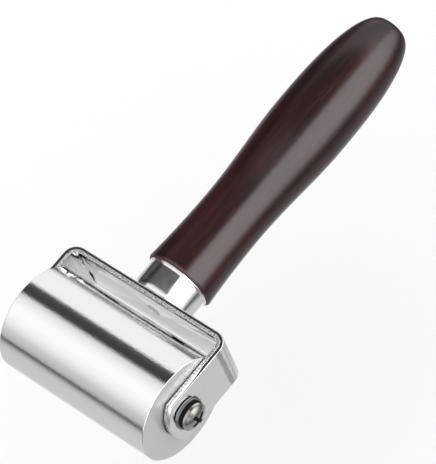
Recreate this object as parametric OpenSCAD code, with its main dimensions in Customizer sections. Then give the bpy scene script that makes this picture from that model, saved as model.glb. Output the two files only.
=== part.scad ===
// Heavy press roller: a steel roller on two ball bearings, held in a bent strap yoke,
// with a neck collar and a turned wooden handle.
// X runs along the roller's axis, Y runs from the roller to the handle, Z is up.
// The origin is the centre of the roller, on its axis. Sizes are in millimetres.

/* [Roller] */
// Diameter of the roller
roller_d = 35.5; // [30:0.5:45]
// Length of the roller along its axis
roller_w = 60; // [45:1:90]
// Chamfer on the two rims of the roller
rim_chamfer = 0.5; // [0.2:0.1:1]

/* [Bearings] */
// Outer diameter of each bearing
bearing_d = 16; // [15:0.5:20]
// Width of each bearing
bearing_w = 5; // [4.5:0.5:6]
// How far each bearing sits below the end face of the roller
bearing_recess = 0.5; // [0.3:0.1:1]
// Shoulder that the roller's core bore leaves behind each bearing
bearing_shoulder = 1.5; // [1:0.25:2]
// Diameter of one ball
ball_d = 2.4; // [2:0.1:2.6]
// Number of balls in each bearing
ball_count = 9; // [7:1:9]
// Distance from the ball circle to the shoulder of each ring
ring_land = 0.8; // [0.7:0.05:1]
// Width of the ball cage
cage_w = 3.2; // [3:0.1:3.6]
// Thickness of one shield
shield_t = 0.25; // [0.2:0.05:0.4]

/* [Axle] */
// Diameter of the axle
axle_d = 8; // [6.5:0.1:9.6]
// Depth of the tapped hole in each end of the axle
tapped_depth = 14; // [13:1:18]

/* [Yoke] */
// Width of the strap that the yoke is bent from
strap_w = 20; // [16:1:24]
// Thickness of the strap
strap_t = 2.2; // [1.6:0.2:3]
// Outer radius of the two bends
bend_r = 4.7; // [3.6:0.1:5]
// Gap between each end of the roller and the arm beside it
end_gap = 0.3; // [0.2:0.1:1.5]
// Gap between the roller and the back of the yoke
back_gap = 3.8; // [3:0.1:8]
// How far the tip of each arm reaches past the axle's centre line
tip_reach = 8; // [7:0.5:12]
// Radius of the arc that ends each arm
tip_r = 15; // [13:1:20]

/* [Screws and washers] */
// Diameter of the screw's shank
screw_d = 5; // [4:0.5:6]
// Diameter of the screw's head
head_d = 9.5; // [8:0.5:10.5]
// Height of the screw's head
head_h = 2.8; // [2.4:0.1:3.4]
// Height of the straight rim at the bottom of the head
head_rim = 1; // [0.6:0.1:1.4]
// Length of the cross recess in the head
cross_len = 5.4; // [4:0.2:6]
// Width of one slot of the cross recess
cross_w = 1.1; // [0.8:0.1:1.4]
// Depth of the cross recess below the top of the head
cross_depth = 1.7; // [1.2:0.1:2]
// Length of thread that goes into the axle
thread_len = 12; // [9:0.5:12.5]
// Diameter of the flat washer
flat_washer_d = 11; // [10:0.5:12.5]
// Thickness of the flat washer
flat_washer_t = 0.5; // [0.4:0.1:1]
// Diameter of the split lock washer
lock_washer_d = 9.8; // [8.5:0.1:10.5]
// Thickness of the split lock washer
lock_washer_t = 1.1; // [0.8:0.1:1.4]
// Width of the slit in the lock washer
lock_slit = 0.9; // [0.6:0.1:1.5]

/* [Neck] */
// Diameter of the neck collar
collar_d = 21; // [18:0.5:22.5]
// Length of the collar between the yoke and the handle
collar_len = 10; // [8:0.5:16]
// Diameter of the lip at the handle end of the collar
lip_d = 22.6; // [21:0.2:24]
// Thickness of the lip
lip_t = 1.1; // [0.8:0.1:2]
// Diameter of the collar's spigot inside the handle
spigot_d = 15; // [13:0.5:16]
// Length of the collar's spigot
spigot_len = 5; // [4:0.5:8]
// Diameter of the tang stud
tang_d = 6; // [5:0.5:7]
// Diameter of the rivet end of the tang, in the back of the yoke
rivet_d = 4.8; // [4:0.2:5]
// Length of the tang inside the handle
tang_len = 27; // [22:1:34]

/* [Handle] */
// Length of the handle
handle_len = 109; // [95:1:130]
// Diameter of the handle's front end
front_d = 24; // [23:0.5:27]
// Rounding of the front edge
front_round = 0.9; // [0.5:0.1:1.5]
// Diameter of the waist
waist_d = 21.8; // [20.5:0.1:23]
// Distance of the waist from the front end
waist_at = 27; // [22:1:32]
// Diameter of the swelling
belly_d = 25.8; // [24:0.2:29]
// Distance of the swelling from the front end
belly_at = 68; // [58:1:74]
// Fullness of the round end: 2 is an ellipse, more is blunter
end_fullness = 2.6; // [2:0.1:3.5]
// Diameter of the small flat on the end
butt_flat_d = 9; // [6:0.5:12]
// Diameter of the brass insert that the tang screws into
insert_d = 9; // [8.5:0.5:10]
// Length of the brass insert
insert_len = 20; // [15:1:24]

/* [Fits] */
// Clearance on the radius of parts that are fixed in each other
fit_gap = 0.02; // [0.01:0.01:0.05]
// Clearance on the radius of a screw in a plain hole
hole_gap = 0.2; // [0.1:0.05:0.4]
// Clearance around each ball
ball_gap = 0.04; // [0.02:0.01:0.08]
// Clearance between a shield and the inner ring
shield_gap = 0.15; // [0.1:0.05:0.25]

/* [Hidden] */
$fn = 96;
eps = 0.1;

// Places along the roller's axis, measured from its centre
roller_end = roller_w / 2;
bearing_face = roller_end - bearing_recess;
bearing_mid = bearing_face - bearing_w / 2;
bearing_back = bearing_face - bearing_w;
arm_inner = roller_end + end_gap;
arm_outer = arm_inner + strap_t;
flat_washer_out = arm_outer + flat_washer_t;
head_under = flat_washer_out + lock_washer_t;
head_top = head_under + head_h;

// Places from the roller to the handle, measured from the roller's axis
back_inner = roller_d / 2 + back_gap;
back_outer = back_inner + strap_t;
handle_front = back_outer + collar_len;
tang_end = handle_front + tang_len;
handle_end = handle_front + handle_len;

// Radii inside the bearings
pitch_r = (bearing_d + axle_d) / 4;
inner_land_r = pitch_r - ring_land;
outer_land_r = pitch_r + ring_land;
groove_r = ball_d / 2 + ball_gap;
shield_seat_r = outer_land_r + 0.3;
core_d = bearing_d - 2 * bearing_shoulder;
cage_wall = 0.6;

// A round bar along X from x0 to x1
module bar_x(x0, x1, d) {
    translate([x0, 0, 0]) rotate([0, 90, 0]) cylinder(h = x1 - x0, d = d);
}

// A round bar along Y from y0 to y1
module bar_y(y0, y1, d) {
    translate([0, y0, 0]) rotate([-90, 0, 0]) cylinder(h = y1 - y0, d = d);
}

// A ring along X from x0 to x1
module ring_x(x0, x1, outer, bore) {
    difference() {
        bar_x(x0, x1, outer);
        bar_x(x0 - eps, x1 + eps, bore);
    }
}

// A part drawn for the right side, turned round to the side asked for: 1 is right, -1 is left
module on_side(side) {
    rotate([0, 0, side > 0 ? 0 : 180]) children();
}

// ---- Roller ----

module roller_blank() {
    rotate([0, 90, 0]) rotate_extrude() polygon([
        [0, -roller_end],
        [roller_d / 2 - rim_chamfer, -roller_end],
        [roller_d / 2, rim_chamfer - roller_end],
        [roller_d / 2, roller_end - rim_chamfer],
        [roller_d / 2 - rim_chamfer, roller_end],
        [0, roller_end]
    ]);
}

module roller() {
    color("gainsboro") difference() {
        roller_blank();
        bar_x(-roller_end, roller_end, core_d);
        for (side = [-1, 1]) on_side(side) bar_x(bearing_back, roller_end + eps, bearing_d + 2 * fit_gap);
    }
}

// ---- Bearings ----

module ball_groove() {
    translate([bearing_mid, 0, 0]) rotate([0, 90, 0])
        rotate_extrude() translate([pitch_r, 0]) circle(r = groove_r, $fn = 48);
}

module bearing_outer(side) {
    color("silver") on_side(side) difference() {
        ring_x(bearing_back, bearing_face, bearing_d, 2 * outer_land_r);
        ball_groove();
        bar_x(bearing_face - shield_t, bearing_face + eps, 2 * shield_seat_r);
        bar_x(bearing_back - eps, bearing_back + shield_t, 2 * shield_seat_r);
    }
}

module bearing_inner(side) {
    color("silver") on_side(side) difference() {
        ring_x(bearing_back, bearing_face, 2 * inner_land_r, axle_d + 2 * fit_gap);
        ball_groove();
    }
}

module bearing_shields(side) {
    color("dimgray") on_side(side) {
        for (x = [bearing_back, bearing_face - shield_t])
            ring_x(x, x + shield_t, 2 * (shield_seat_r - fit_gap), 2 * (inner_land_r + shield_gap));
    }
}

// Copies of one shape at each ball's place
module round_the_balls() {
    for (i = [0:ball_count - 1])
        rotate([i * 360 / ball_count, 0, 0]) translate([bearing_mid, pitch_r, 0]) children();
}

module bearing_balls(side) {
    color("white") on_side(side) round_the_balls() sphere(d = ball_d);
}

module cage_pocket() {
    rotate([90, 0, 0]) cylinder(h = 2 * cage_wall, r = groove_r, center = true, $fn = 32);
}

module bearing_cage(side) {
    color("goldenrod") on_side(side) difference() {
        ring_x(bearing_mid - cage_w / 2, bearing_mid + cage_w / 2, 2 * pitch_r + cage_wall, 2 * pitch_r - cage_wall);
        round_the_balls() cage_pocket();
    }
}

// ---- Axle and what stands on it ----

module axle() {
    color("silver") difference() {
        bar_x(-arm_inner, arm_inner, axle_d);
        for (side = [-1, 1]) on_side(side) bar_x(arm_inner - tapped_depth, arm_inner + eps, screw_d + 2 * fit_gap);
    }
}

module bearing_spacer() {
    color("gray") ring_x(-bearing_back, bearing_back, 2 * inner_land_r, axle_d + 2 * fit_gap);
}

module thrust_spacer(side) {
    color("gray") on_side(side) ring_x(bearing_face, arm_inner, 2 * inner_land_r, axle_d + 2 * fit_gap);
}

// ---- Yoke ----

// Outline of a U in plan: straight arms, a straight back and two round bends
module u_plan(half_w, back_y, r) {
    translate([-half_w, -tip_r]) square([2 * half_w, back_y - r + tip_r]);
    translate([r - half_w, back_y - r - eps]) square([2 * (half_w - r), r + eps]);
    for (x = [r - half_w, half_w - r]) translate([x, back_y - r]) circle(r = r);
}

// Side outline of an arm: the strap's width, ended by an arc
module arm_side() {
    intersection() {
        square([2 * (back_outer + eps), strap_w], center = true);
        union() {
            translate([tip_r - tip_reach, 0]) circle(r = tip_r);
            translate([tip_r - tip_reach, -strap_w / 2]) square([back_outer, strap_w]);
        }
    }
}

module yoke() {
    color("lightgray") difference() {
        intersection() {
            linear_extrude(height = strap_w, center = true) difference() {
                u_plan(arm_outer, back_outer, bend_r);
                u_plan(arm_inner, back_inner, bend_r - strap_t);
            }
            rotate([90, 0, 90]) linear_extrude(height = 2 * (arm_outer + eps), center = true) arm_side();
        }
        bar_x(-arm_outer - eps, arm_outer + eps, screw_d + 2 * hole_gap);
        bar_y(back_inner - eps, back_outer + eps, rivet_d + 2 * fit_gap);
    }
}

// ---- Screws and washers ----

// The head's outline: a straight rim under a dome
dome_h = head_h - head_rim;
dome_r = (head_d * head_d / 4 + dome_h * dome_h) / (2 * dome_h);
dome_turn = asin(head_d / 2 / dome_r);
dome_steps = 8;
function head_points() = concat([[0, 0], [head_d / 2, 0]], [
    for (i = [0:dome_steps]) let (turn = dome_turn * (1 - i / dome_steps))
        [dome_r * sin(turn), head_h - dome_r * (1 - cos(turn))]
]);

module pan_head() {
    translate([head_under, 0, 0]) rotate([0, 90, 0]) rotate_extrude() polygon(head_points());
}

module axle_screw(side) {
    color("silver") on_side(side) difference() {
        union() {
            pan_head();
            bar_x(arm_inner - thread_len, head_under + eps, screw_d);
        }
        for (turn = [20, 110]) rotate([turn, 0, 0])
            translate([head_top - cross_depth, -cross_len / 2, -cross_w / 2])
                cube([cross_depth + eps, cross_len, cross_w]);
    }
}

module lock_washer(side) {
    color("black") on_side(side) difference() {
        ring_x(flat_washer_out, head_under, lock_washer_d, screw_d + 2 * hole_gap);
        translate([flat_washer_out - eps, screw_d / 2 - eps, -lock_slit / 2])
            cube([lock_washer_t + 2 * eps, lock_washer_d / 2, lock_slit]);
    }
}

module flat_washer(side) {
    color("gray") on_side(side) ring_x(arm_outer, flat_washer_out, flat_washer_d, screw_d + 2 * hole_gap);
}

// ---- Neck ----

module neck_collar() {
    color("whitesmoke") difference() {
        union() {
            bar_y(back_outer, handle_front, collar_d);
            bar_y(handle_front - lip_t, handle_front, lip_d);
            bar_y(back_outer, handle_front + spigot_len, spigot_d);
        }
        bar_y(back_outer - eps, handle_front + spigot_len + eps, tang_d + 2 * fit_gap);
    }
}

module tang_stud() {
    color("silver") {
        bar_y(back_inner, back_outer + eps, rivet_d);
        bar_y(back_outer, tang_end, tang_d);
    }
}

// ---- Handle ----

// Radius of the handle at a distance along it, from the front end to the swelling
function body_r(along) =
    along < waist_at ? waist_d / 2 + (front_d - waist_d) / 2 * pow(1 - along / waist_at, 2) :
    waist_d / 2 + (belly_d - waist_d) / 4 * (1 - cos(180 * (along - waist_at) / (belly_at - waist_at)));

round_steps = 8;
body_steps = 28;
end_steps = 24;

// The outline's three stretches: the rounded front edge, the body, and the end down to its flat
function front_points() = [
    for (i = [0:round_steps]) let (turn = 90 * i / round_steps)
        [body_r(front_round) - front_round * (1 - sin(turn)), front_round * (1 - cos(turn))]
];
function body_points() = [
    for (i = [1:body_steps]) let (along = front_round + (belly_at - front_round) * i / body_steps)
        [body_r(along), along]
];
function end_points() = [
    for (i = [1:end_steps]) let (turn = 90 * i / end_steps)
        [butt_flat_d / 2 + (belly_d - butt_flat_d) / 2 * cos(turn),
         belly_at + (handle_len - belly_at) * pow(sin(turn), 2 / end_fullness)]
];

module handle_blank() {
    translate([0, handle_front, 0]) rotate([-90, 0, 0]) rotate_extrude()
        polygon(concat([[0, 0]], front_points(), body_points(), end_points(), [[0, handle_len]]));
}

module handle() {
    color("maroon") difference() {
        handle_blank();
        bar_y(handle_front - eps, handle_front + spigot_len + insert_len, insert_d + 2 * fit_gap);
        bar_y(handle_front - eps, handle_front + spigot_len, spigot_d + 2 * fit_gap);
        bar_y(handle_front, tang_end + 2, tang_d + 2 * hole_gap);
    }
}

module handle_insert() {
    color("goldenrod") difference() {
        bar_y(handle_front + spigot_len, handle_front + spigot_len + insert_len, insert_d);
        bar_y(handle_front, tang_end + eps, tang_d + 2 * fit_gap);
    }
}

roller();
yoke();
neck_collar();
tang_stud();
handle();
handle_insert();
axle();
bearing_spacer();
axle_screw(-1);  // axle_screw_left
axle_screw(1);  // axle_screw_right
lock_washer(-1);  // lock_washer_left
lock_washer(1);  // lock_washer_right
flat_washer(-1);  // flat_washer_left
flat_washer(1);  // flat_washer_right
thrust_spacer(-1);  // thrust_spacer_left
thrust_spacer(1);  // thrust_spacer_right
bearing_outer(-1);  // bearing_outer_left
bearing_outer(1);  // bearing_outer_right
bearing_inner(-1);  // bearing_inner_left
bearing_inner(1);  // bearing_inner_right
bearing_shields(-1);  // bearing_shields_left
bearing_shields(1);  // bearing_shields_right
bearing_cage(-1);  // bearing_cage_left
bearing_cage(1);  // bearing_cage_right
bearing_balls(-1);  // bearing_balls_left
bearing_balls(1);  // bearing_balls_right
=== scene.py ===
"""Hand press roller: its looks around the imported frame.

All lengths are in metres, in the frame's own axes: X along the roller's axis, Y towards the handle, Z up.
"""

from __future__ import annotations

import logging
import math
from dataclasses import dataclass, field
from enum import Enum
from typing import Callable, Mapping, Sequence, TypeAlias

import bpy
from mathutils import Matrix, Vector


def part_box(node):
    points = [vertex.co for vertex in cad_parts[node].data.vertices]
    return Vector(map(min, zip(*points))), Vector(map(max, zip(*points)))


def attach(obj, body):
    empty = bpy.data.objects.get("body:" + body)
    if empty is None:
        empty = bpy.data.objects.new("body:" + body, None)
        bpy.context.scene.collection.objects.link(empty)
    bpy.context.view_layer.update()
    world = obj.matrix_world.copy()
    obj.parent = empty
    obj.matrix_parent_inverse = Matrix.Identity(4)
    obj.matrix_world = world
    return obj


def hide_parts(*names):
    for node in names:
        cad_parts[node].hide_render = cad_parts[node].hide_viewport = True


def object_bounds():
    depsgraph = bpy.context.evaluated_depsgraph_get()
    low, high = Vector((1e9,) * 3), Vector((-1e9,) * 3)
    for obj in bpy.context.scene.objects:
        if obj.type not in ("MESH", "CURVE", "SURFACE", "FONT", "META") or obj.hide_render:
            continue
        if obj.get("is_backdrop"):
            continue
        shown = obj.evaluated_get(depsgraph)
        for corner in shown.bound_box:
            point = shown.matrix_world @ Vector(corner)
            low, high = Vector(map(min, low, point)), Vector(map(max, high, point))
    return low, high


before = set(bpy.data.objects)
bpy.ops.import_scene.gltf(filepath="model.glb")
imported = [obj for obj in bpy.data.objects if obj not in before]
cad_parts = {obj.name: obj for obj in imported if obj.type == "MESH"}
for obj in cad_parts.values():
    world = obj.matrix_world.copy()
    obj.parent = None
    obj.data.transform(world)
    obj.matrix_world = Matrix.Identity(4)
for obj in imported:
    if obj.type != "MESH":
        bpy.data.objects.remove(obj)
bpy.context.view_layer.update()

LOG = logging.getLogger("press_roller")
MM = 0.001
BEND_RADIUS = 4.7 * MM
TIP_RADIUS = 15.0 * MM
Station: TypeAlias = tuple[float, float]
Test: TypeAlias = Callable[[Vector, Vector], bool]
Color: TypeAlias = tuple[float, float, float]
Feed: TypeAlias = "Signal | float | Sequence[float]"


class Axis(Enum):
    """The axis that a turned piece is turned about, with the turn that lays +Z along it."""

    ALONG_X = (0.0, math.radians(90), 0.0)
    ALONG_Y = (math.radians(-90), 0.0, 0.0)


class Side(Enum):
    """The side of the roller that a piece belongs to, and the turn about Z that takes it there."""

    RIGHT = 0.0
    LEFT = math.pi

    @property
    def word(self) -> str:
        """The side's name, as the frame's nodes use it."""
        return self.name.lower()


# ---------------------------------------------------------------- the bench: modelling by hand


def only(piece: bpy.types.Object) -> None:
    """Leaves one object selected and active.

    Args:
        piece: The object to work on.
    """
    bpy.ops.object.select_all(action="DESELECT")
    piece.select_set(True)
    bpy.context.view_layer.objects.active = piece


def clear_desk() -> None:
    """Deselects everything, so that a new primitive is alone in what the next operators act on."""
    if bpy.context.object and bpy.context.object.mode != "OBJECT":
        bpy.ops.object.mode_set(mode="OBJECT")
    bpy.ops.object.select_all(action="DESELECT")


def named(name: str) -> bpy.types.Object:
    """Names the active object and its mesh.

    Args:
        name: The piece's name.

    Returns:
        The active object.
    """
    piece = bpy.context.object
    piece.name = name
    piece.data.name = name
    return piece


def pick_faces(piece: bpy.types.Object, test: Test) -> None:
    """Selects, in edit mode, the faces that pass a test of their centre and normal.

    Args:
        piece: The object, in edit mode.
        test: Called with each face's centre and normal.
    """
    bpy.ops.mesh.select_mode(type="FACE")
    bpy.ops.mesh.select_all(action="DESELECT")
    bpy.ops.object.mode_set(mode="OBJECT")
    for face in piece.data.polygons:
        face.select = test(face.center, face.normal)
    bpy.ops.object.mode_set(mode="EDIT")


def pick_points(piece: bpy.types.Object, test: Callable[[Vector], bool]) -> None:
    """Selects, in edit mode, the vertices that pass a test of their place.

    Args:
        piece: The object, in edit mode.
        test: Called with each vertex's place.
    """
    bpy.ops.mesh.select_mode(type="VERT")
    bpy.ops.mesh.select_all(action="DESELECT")
    bpy.ops.object.mode_set(mode="OBJECT")
    for point in piece.data.vertices:
        point.select = test(point.co)
    bpy.ops.object.mode_set(mode="EDIT")


def settle(piece: bpy.types.Object, turn: Sequence[float] = (0.0, 0.0, 0.0)) -> None:
    """Turns an object and puts its place, turn and size into its mesh.

    Args:
        piece: The object.
        turn: Euler angles to add before applying.
    """
    only(piece)
    piece.rotation_euler = turn
    bpy.ops.object.transform_apply(location=True, rotation=True, scale=True)


def close_up(piece: bpy.types.Object, merge: float = 0.002 * MM) -> None:
    """Merges doubled points and turns all faces outwards.

    Args:
        piece: The object.
        merge: Points nearer than this become one.
    """
    only(piece)
    bpy.ops.object.mode_set(mode="EDIT")
    bpy.ops.mesh.select_all(action="SELECT")
    bpy.ops.mesh.remove_doubles(threshold=merge)
    bpy.ops.mesh.normals_make_consistent(inside=False)
    bpy.ops.object.mode_set(mode="OBJECT")


def turn_piece(name: str, stations: Sequence[Station], axis: Axis, sides: int,
               ring: bool = False) -> bpy.types.Object:
    """Turns a piece on the lathe: a disc is drawn out along its axis and resized at each station.

    Args:
        name: The piece's name.
        stations: Places along the axis and radii, in order along the outline.
        axis: The axis that it is turned about.
        sides: Number of faces round it.
        ring: Whether the outline runs round a ring and closes on its first station.

    Returns:
        The finished object.
    """
    clear_desk()
    (place, radius), rest = stations[0], list(stations[1:])
    fill = "NOTHING" if ring else "NGON"
    bpy.ops.mesh.primitive_circle_add(vertices=sides, radius=radius, fill_type=fill, location=(0, 0, 0))
    piece = named(name)
    bpy.ops.object.mode_set(mode="EDIT")
    bpy.ops.mesh.select_mode(type="EDGE" if ring else "FACE")
    bpy.ops.mesh.select_all(action="SELECT")
    bpy.ops.transform.translate(value=(0, 0, place))
    for next_place, next_radius in rest + ([stations[0]] if ring else []):
        bpy.ops.mesh.extrude_region_move(TRANSFORM_OT_translate={"value": (0, 0, next_place - place)})
        if abs(next_radius - radius) > 1e-9:
            factor = next_radius / radius
            bpy.ops.transform.resize(value=(factor, factor, 1), center_override=(0, 0, next_place))
        place, radius = next_place, next_radius
    bpy.ops.object.mode_set(mode="OBJECT")
    settle(piece, axis.value)
    close_up(piece)
    return piece


def block(name: str, low: Sequence[float], high: Sequence[float]) -> bpy.types.Object:
    """Adds a block between two corners.

    Args:
        name: Its name.
        low: Its lowest corner.
        high: Its highest corner.

    Returns:
        The object.
    """
    clear_desk()
    middle = [(a + b) / 2 for a, b in zip(low, high)]
    bpy.ops.mesh.primitive_cube_add(size=1, location=middle, scale=[b - a for a, b in zip(low, high)])
    piece = named(name)
    settle(piece)
    return piece


def cut(piece: bpy.types.Object, tool: bpy.types.Object, how: str = "DIFFERENCE") -> None:
    """Cuts a piece with a tool, and throws the tool away.

    Args:
        piece: The object to cut.
        tool: The cutter.
        how: The Boolean modifier's operation.
    """
    only(piece)
    cutter = piece.modifiers.new("cut", "BOOLEAN")
    cutter.operation = how
    cutter.solver = "EXACT"
    cutter.object = tool
    bpy.ops.object.modifier_apply(modifier=cutter.name)
    bpy.data.objects.remove(tool)


def ease_edges(piece: bpy.types.Object, width: float, steps: int = 3, degrees: float = 35.0) -> None:
    """Rounds every edge sharper than an angle.

    Args:
        piece: The object.
        width: Width of the rounding.
        steps: Faces across it.
        degrees: The angle.
    """
    only(piece)
    bevel = piece.modifiers.new("ease", "BEVEL")
    bevel.width = width
    bevel.segments = steps
    bevel.limit_method = "ANGLE"
    bevel.angle_limit = math.radians(degrees)
    bevel.use_clamp_overlap = True
    bpy.ops.object.modifier_apply(modifier=bevel.name)


def copy_to(piece: bpy.types.Object, name: str, side: Side) -> bpy.types.Object:
    """Copies a piece, with its own mesh, to a side of the roller.

    Args:
        piece: The piece, made for the right side.
        name: The copy's name.
        side: The side that it goes to.

    Returns:
        The copy.
    """
    twin = piece.copy()
    twin.data = piece.data.copy()
    bpy.context.collection.objects.link(twin)
    twin.name = name
    twin.data.name = name
    settle(twin, (0, 0, side.value))
    return twin


def stand_in(piece: bpy.types.Object, node: str, body: str, degrees: float = 28.0) -> None:
    """Shades a finished piece, and puts it on its body in place of a node.

    Args:
        piece: The piece.
        node: The node that it replaces.
        body: The body that it rides on.
        degrees: Edges flatter than this are shaded smooth.
    """
    only(piece)
    bpy.ops.object.shade_smooth_by_angle(angle=math.radians(degrees))
    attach(piece, body)
    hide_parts(node)


def arc(middle: Station, radius: float, start: float, end: float, steps: int) -> list[Station]:
    """Points of a round stretch of an outline.

    Args:
        middle: The arc's centre, as a place along the axis and a radius.
        radius: The arc's radius.
        start: First angle in degrees, from the axis's direction outwards.
        end: Last angle in degrees.
        steps: Number of steps.

    Returns:
        Stations along the arc.
    """
    angles = [math.radians(start + (end - start) * i / steps) for i in range(steps + 1)]
    return [(middle[0] + radius * math.cos(a), middle[1] + radius * math.sin(a)) for a in angles]


# ---------------------------------------------------------------- finishes: wiring


class Signal:
    """What an output socket gives; arithmetic on it adds math nodes."""

    def __init__(self, wiring: Wiring, socket: bpy.types.NodeSocket) -> None:
        """Keeps the wiring and the socket.

        Args:
            wiring: The node tree's wiring.
            socket: The output socket.
        """
        self.wiring = wiring
        self.socket = socket

    def __add__(self, other: Signal | float) -> Signal:
        """Adds."""
        return self.wiring.math("ADD", self, other)

    def __sub__(self, other: Signal | float) -> Signal:
        """Subtracts."""
        return self.wiring.math("SUBTRACT", self, other)

    def __rsub__(self, other: float) -> Signal:
        """Subtracts from a number."""
        return self.wiring.math("SUBTRACT", other, self)

    def __mul__(self, other: Signal | float) -> Signal:
        """Multiplies."""
        return self.wiring.math("MULTIPLY", self, other)

    def __truediv__(self, other: float) -> Signal:
        """Divides."""
        return self.wiring.math("DIVIDE", self, other)

    def __abs__(self) -> Signal:
        """Drops the sign."""
        return self.wiring.math("ABSOLUTE", self)

    def squared(self) -> Signal:
        """Squares."""
        return self.wiring.math("POWER", self, 2.0)

    def root(self) -> Signal:
        """Takes the square root."""
        return self.wiring.math("SQRT", self)

    def most(self, other: Signal | float) -> Signal:
        """The larger of two."""
        return self.wiring.math("MAXIMUM", self, other)

    def least(self, other: Signal | float) -> Signal:
        """The smaller of two."""
        return self.wiring.math("MINIMUM", self, other)

    def span(self, low: float, high: float, to_low: float = 0.0, to_high: float = 1.0) -> Signal:
        """Maps smoothly from one range to another.

        Args:
            low: Start of its range.
            high: End of its range.
            to_low: What the start becomes.
            to_high: What the end becomes.

        Returns:
            The mapped signal.
        """
        feeds = {"Value": self, "From Min": low, "From Max": high, "To Min": to_low, "To Max": to_high}
        return self.wiring.node("MapRange", feeds, interpolation_type="SMOOTHSTEP")


class Wiring:
    """A node tree with short ways to add nodes and join them."""

    def __init__(self, tree: bpy.types.NodeTree) -> None:
        """Empties a tree and keeps it.

        Args:
            tree: The node tree to fill.
        """
        self.tree = tree
        tree.nodes.clear()

    def feed(self, socket: bpy.types.NodeSocket, value: Feed) -> None:
        """Gives an input a signal, or a number or colour of its own.

        Args:
            socket: The input.
            value: What goes into it.
        """
        if isinstance(value, Signal):
            self.tree.links.new(value.socket, socket)
        else:
            socket.default_value = value

    def add(self, kind: str, feeds: Mapping[str | int, Feed], **settings: object) -> bpy.types.Node:
        """Adds a node.

        Args:
            kind: The node's type, without "ShaderNode" for shader nodes.
            feeds: What goes into its inputs.
            **settings: Properties to set on it.

        Returns:
            The node.
        """
        node = self.tree.nodes.new(kind if kind.startswith("Node") else f"ShaderNode{kind}")
        for key, setting in settings.items():
            setattr(node, key, setting)
        for key, value in feeds.items():
            self.feed(node.inputs[key], value)
        return node

    def node(self, kind: str, feeds: Mapping[str | int, Feed], out: str | int = 0,
             **settings: object) -> Signal:
        """Adds a node for one of its outputs.

        Args:
            kind: The node's type, as for add.
            feeds: What goes into its inputs.
            out: The output that is wanted.
            **settings: Properties to set on it.

        Returns:
            The output's signal.
        """
        return Signal(self, self.add(kind, feeds, **settings).outputs[out])

    def math(self, how: str, first: Signal | float, second: Signal | float = 0.0,
             clamp: bool = False) -> Signal:
        """Adds a math node.

        Args:
            how: The operation.
            first: Its first value.
            second: Its second value, where the operation has one.
            clamp: Whether the result is kept between 0 and 1.

        Returns:
            The result.
        """
        return self.node("Math", {0: first, 1: second}, operation=how, use_clamp=clamp)

    def mix(self, factor: Signal | float, first: Feed, second: Feed, blend: str = "MIX") -> Signal:
        """Mixes two colours.

        Args:
            factor: The second colour's share.
            first: The first colour.
            second: The second colour.
            blend: How they are mixed.

        Returns:
            The mixed colour.
        """
        feeds = {"Factor": factor, "A": first, "B": second}
        return self.node("Mix", feeds, "Result", data_type="RGBA", blend_type=blend)

    def noise(self, where: Signal, scale: Signal | float, detail: float = 3.0, rough: float = 0.5,
              in_line: bool = False) -> Signal:
        """Adds a noise texture.

        Args:
            where: Coordinates, or a place along a line.
            scale: Number of features in a metre.
            detail: Finer layers.
            rough: How strong the finer layers are.
            in_line: Whether the noise runs along a line.

        Returns:
            The noise.
        """
        feeds = {"W" if in_line else "Vector": where, "Scale": scale, "Detail": detail, "Roughness": rough}
        return self.node("TexNoise", feeds, "Fac", noise_dimensions="1D" if in_line else "3D")

    def stretched(self, where: Signal, factors: Sequence[float]) -> Signal:
        """Scales coordinates by a factor on each axis."""
        return self.node("Mapping", {"Vector": where, "Scale": factors})

    def split(self, where: Signal) -> list[Signal]:
        """Splits coordinates into X, Y and Z."""
        return [Signal(self, socket) for socket in self.add("SeparateXYZ", {0: where}).outputs]

    def ramp(self, factor: Signal, stops: Sequence[tuple[float, Color]]) -> Signal:
        """Adds a colour ramp.

        Args:
            factor: The place on the ramp.
            stops: Places and colours, in order.

        Returns:
            The colour.
        """
        node = self.add("ValToRGB", {"Fac": factor})
        marks = node.color_ramp.elements
        marks.remove(marks[-1])
        for number, (place, color) in enumerate(stops):
            mark = marks.new(place) if number else marks[0]
            mark.position = place
            mark.color = (*color, 1)
        return Signal(self, node.outputs["Color"])


class Effect(Enum):
    """The shared surface effects, each a node group."""

    TURNING = "turning_lines"
    GRIT = "fine_grit"
    HANDLING = "handling_marks"
    GRAIN = "wood_grain"
    EDGE_BAND = "sheared_edge_band"


class Group(Wiring):
    """A shader node group with named inputs and outputs."""

    def __init__(self, effect: Effect, inputs: Mapping[str, float], outputs: Sequence[str]) -> None:
        """Starts the group.

        Args:
            effect: The effect that it makes.
            inputs: The numbers that it takes, with their defaults, beside the coordinates.
            outputs: What it gives.
        """
        super().__init__(bpy.data.node_groups.new(effect.value, "ShaderNodeTree"))
        face = self.tree.interface
        face.new_socket("Vector", in_out="INPUT", socket_type="NodeSocketVector")
        for name, default in inputs.items():
            face.new_socket(name, in_out="INPUT", socket_type="NodeSocketFloat").default_value = default
        for name in outputs:
            kind = "Color" if name == "Color" else "Float"
            face.new_socket(name, in_out="OUTPUT", socket_type=f"NodeSocket{kind}")
        taken = self.add("NodeGroupInput", {})
        self.given = {socket.name: Signal(self, socket) for socket in taken.outputs}
        self.where = self.given["Vector"]
        self.out = self.add("NodeGroupOutput", {})

    def give(self, **signals: Signal) -> None:
        """Joins signals to the outputs, named with underscores for spaces."""
        for name, signal in signals.items():
            self.feed(self.out.inputs[name.replace("_", " ")], signal)


# ---------------------------------------------------------------- finishes: shared effects


def build_turning() -> None:
    """Fine lines that grinding leaves round a turned piece, each at its own height."""
    group = Group(Effect.TURNING, {"Place": 0.0, "Lines per metre": 4000.0}, ("Height", "Tone"))
    place = group.given["Place"] * group.given["Lines per metre"]
    lines = group.noise(place, 1.0, 4.0, 0.7, in_line=True)
    broken = group.noise(group.where, 700.0, 2.0)
    group.give(Height=lines * broken.span(0.3, 0.7, 0.55, 1.0), Tone=lines.span(0.3, 0.75))


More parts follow.
